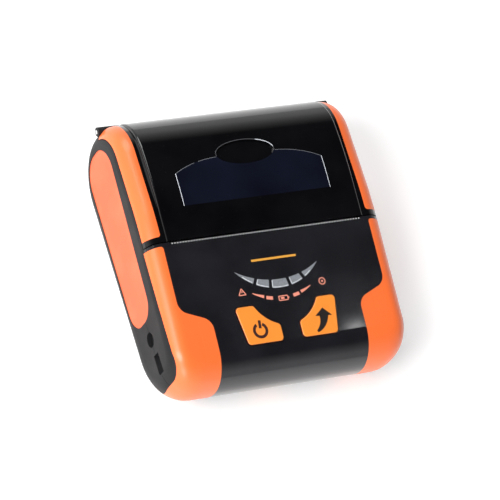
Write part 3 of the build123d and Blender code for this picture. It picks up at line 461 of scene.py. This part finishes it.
def lens_edge_highlights():
    """Painted highlights: thin bright strips along the foot of each lens and up the left end of the middle
    three.
    """
    width = 0.3 * mm
    foot_radius = lens_low_radius - 0.35 * mm
    bright = [stroke(arc(lens_low_centre, foot_radius, *span, 10), width) for span in lens_spans]
    for start, stop in lens_spans[1:4]:
        turn = radians(start)
        foot = Vector((foot_radius * sin(turn), lens_low_centre[1] - foot_radius * cos(turn)))
        reach = lens_high_centre - math.sqrt(lens_high_radius ** 2 - foot.x ** 2) - foot.y
        head = foot + Vector((-sin(turn), cos(turn))) * (reach - width)
        bright.append(stroke([foot, head], width))
    print_or_highlight_strokes("lens_edge_highlights", bright, 0.1 * mm, "base", "lens_highlight_finish")


# Painted highlights and a painted reflection along the window and scoop rims of the cover

def surface_of(node):
    """A search tree over a node's mesh."""
    mesh = nodes[node].data
    return BVHTree.FromPolygons([v.co for v in mesh.vertices], [p.vertices for p in mesh.polygons])


def bead(name, places, surfaces, width, finish):
    """A thin raised edge that follows the top of the cover through places in plan."""
    above = 0.1
    rise = width * 0.1
    sink = 0.01 * mm
    sides = 6
    line = []
    for x, y in places:
        hits = [surface.ray_cast(Vector((x, y, above)), Vector((0, 0, -1)))[0] for surface in surfaces]
        line.append(max((hit for hit in hits if hit), key=lambda hit: hit.z))
    shape = bmesh.new()
    rows = []
    for i, point in enumerate(line):
        along = (line[min(i + 1, len(line) - 1)] - line[max(i - 1, 0)]).normalized()
        across = along.cross(Vector((0, 0, 1))).normalized()
        row = []
        for turn in range(sides + 1):
            angle = pi * turn / sides
            offset = across * (cos(angle) * width / 2) + Vector((0, 0, sin(angle) * rise - sink))
            row.append(shape.verts.new(point + offset))
        rows.append(row)
    for first, second in zip(rows, rows[1:]):
        for j in range(sides + 1):
            k = (j + 1) % (sides + 1)
            shape.faces.new((first[j], first[k], second[k], second[j]))
    shape.faces.new(rows[0])
    shape.faces.new(reversed(rows[-1]))
    add_piece(name, shape, "cover", finish)


def through_three(first, middle, last, steps):
    """Points on a gentle curve through three places."""
    bend = 2 * middle - (first + last) / 2
    shares = [i / steps for i in range(steps + 1)]
    return [first * (1 - t) ** 2 + 2 * bend * t * (1 - t) + last * t ** 2 for t in shares]


def scoop_rim(start, stop, steps):
    """Places round the thumb scoop, with angles in degrees from its right end."""
    rim_gap = 0.1 * mm
    across, along = scoop_half_width + rim_gap, scoop_half_length + rim_gap
    turns = [radians(start + (stop - start) * i / steps) for i in range(steps + 1)]
    return [(across * cos(t), scoop_y + along * sin(t)) for t in turns]


def window_rim_highlights():
    """Thin beads, lighter than the cover, along the window and the thumb scoop: painted highlights on the
    window's sides and the scoop, and a painted grey reflection on the window's crown.
    """
    window, shell = surface_of("cover_window"), surface_of("cover_shell")
    pane_gap = 0.02 * mm
    steps = 20
    # Painted highlights along the window's two sides.
    for side, hand in ((-1, "left"), (1, "right")):
        x = side * (window_half_width + pane_gap)
        line = [(x, window_front + (window_side - window_front) * i / steps) for i in range(steps + 1)]
        bead("window_edge_" + hand, line, [window, shell], 0.3 * mm, "rim_highlight_finish")
    # A painted grey reflection along the window's crown.
    for side, hand in ((-1, "left"), (1, "right")):
        corner = Vector((window_half_width, window_side))
        line = [(side * p.x, p.y) for p in through_three(corner, window_crown, window_neck, steps)]
        bead("window_crown_" + hand, line, [window, shell], 0.22 * mm, "rim_grey_reflection_finish")
    # A faint painted highlight round the whole scoop rim, and a brighter painted glint on part of it.
    bead("scoop_rim_highlight", scoop_rim(0, 360, 48), [shell], 0.3 * mm, "rim_faint_highlight_finish")
    bead("scoop_glint", scoop_rim(8, 62, 14), [shell], 0.34 * mm, "rim_highlight_finish")


# Camera, floor and light

def photo_camera():
    """The camera at the photograph's place, aimed beside the middle of the tear line."""
    back = Vector((sin(camera_azimuth) * cos(camera_elevation),
                   -cos(camera_azimuth) * cos(camera_elevation),
                   sin(camera_elevation)))
    level = Vector((0, 0, 1)).cross(back).normalized()
    right = cos(camera_roll) * level + sin(camera_roll) * back.cross(level)
    up = back.cross(right)
    camera = bpy.data.objects.new("camera", bpy.data.cameras.new("camera"))
    camera.data.sensor_width = sensor_width
    camera.data.lens = sensor_width * focal_pixels / picture_pixels
    camera.data.clip_end = 20.0
    turn = Matrix((right, up, back)).transposed().to_4x4()
    aim = Vector((0, tear_line_y, 0)) + aim_right * right + aim_up * up
    camera.matrix_world = Matrix.Translation(aim + camera_distance * back) @ turn
    bpy.context.collection.objects.link(camera)
    bpy.context.scene.camera = camera


def floor():
    """A wide pale disc that the printer lies on, with a faint glow of its own."""
    disc = bmesh.new()
    bmesh.ops.create_circle(disc, cap_ends=True, segments=96, radius=4.0)
    mesh = bpy.data.meshes.new("floor")
    disc.to_mesh(mesh)
    disc.free()
    ground = bpy.data.objects.new("floor", mesh)
    ground.location.z = cad_box[0][2] - 0.2 * mm
    finish = Finish("pale floor")
    finish.set(Base_Color=finish.blend(finish.noise(0.3, 2.0), (0.9, 0.9, 0.9), (0.92, 0.92, 0.92)),
               Roughness=0.9, Emission_Color=(1.0, 1.0, 1.0), Emission_Strength=0.3)
    mesh.materials.append(finish.material)
    bpy.context.collection.objects.link(ground)


def softbox(name, place, watts, width, height):
    """A rectangular lamp that faces the printer."""
    lamp = bpy.data.lights.new(name, "AREA")
    lamp.shape = "RECTANGLE"
    lamp.size = width
    lamp.size_y = height
    lamp.energy = watts
    box = bpy.data.objects.new(name, lamp)
    box.location = place
    box.rotation_euler = (-Vector(place)).to_track_quat("-Z", "Y").to_euler()
    bpy.context.collection.objects.link(box)


def studio():
    """Pale walls, a dark ceiling that the glossy cover mirrors, three soft lamps and a small bright one."""
    world = bpy.data.worlds.new("studio")
    bpy.context.scene.world = world
    world.use_nodes = True
    room = Shader(world.node_tree)
    place = room.node("TexCoord", output="Generated")
    height = room.node("SeparateXYZ", None, {"Vector": place}, output="Z")
    walls = room.node("MapRange", None, {"Value": height, "From Min": 0.25, "From Max": 0.7,
                                         "To Min": 0.85, "To Max": 0.02})
    background = world.node_tree.nodes["Background"]
    room.feed(background.inputs["Strength"], walls)
    room.feed(background.inputs["Color"], (1.0, 1.0, 1.0))
    softbox("key", place=(-1.4, -0.35, 1.2), watts=36.0, width=0.9, height=0.9)
    softbox("rear", place=(-0.5, 1.3, 1.5), watts=26.0, width=1.5, height=1.2)
    softbox("front", place=(-1.0, -1.3, 0.4), watts=9.0, width=0.7, height=0.7)
    softbox("glint", place=(0.494, 0.024, 0.925), watts=0.008, width=0.009, height=0.012)
    bpy.context.scene.view_settings.view_transform = "Standard"


key_signs()
lamp_marks()
panel_bar()
lens_edge_highlights()
window_rim_highlights()

photo_camera()
floor()
studio()
